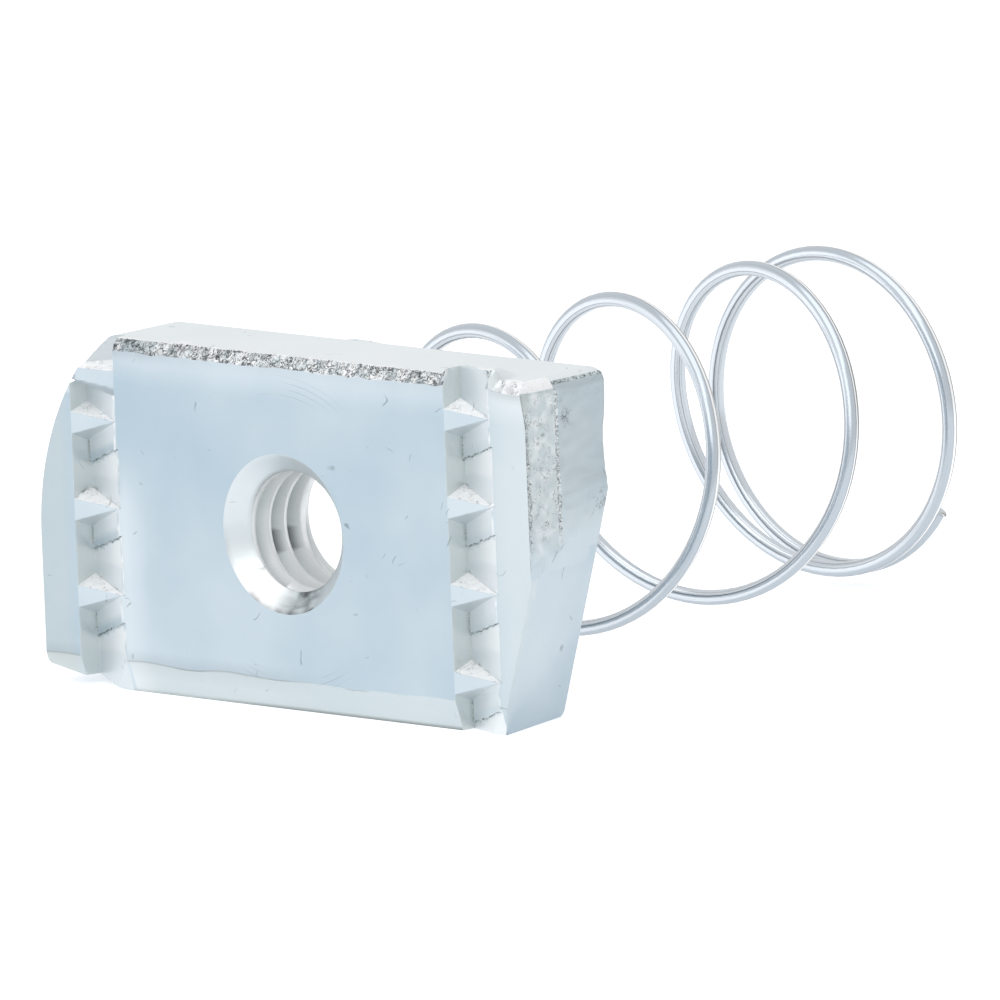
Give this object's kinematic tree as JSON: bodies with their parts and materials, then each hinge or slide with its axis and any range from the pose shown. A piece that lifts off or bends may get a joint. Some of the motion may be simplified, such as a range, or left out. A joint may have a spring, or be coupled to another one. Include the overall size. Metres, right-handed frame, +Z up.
{
  "type": "strut spring nut",
  "caption": "Rectangular channel nut with a toothed face, a threaded hole, two cut corners and a coil spring held on its back.",
  "frame": {"origin": "where the thread's axis meets the toothed face", "axes": "+X along the nut, +Y from the toothed face along the thread towards the spring, +Z up across the nut's width; the nut stands on its long edge"},
  "size_m": [0.036, 0.0461, 0.0196],
  "materials": {
    "nut_body": "bright zinc plating",
    "spring": "bright zinc plated wire"
  },
  "bodies": {
    "root": {"nut_body": "nut_body", "spring": "spring"}
  },
  "joints": []
}
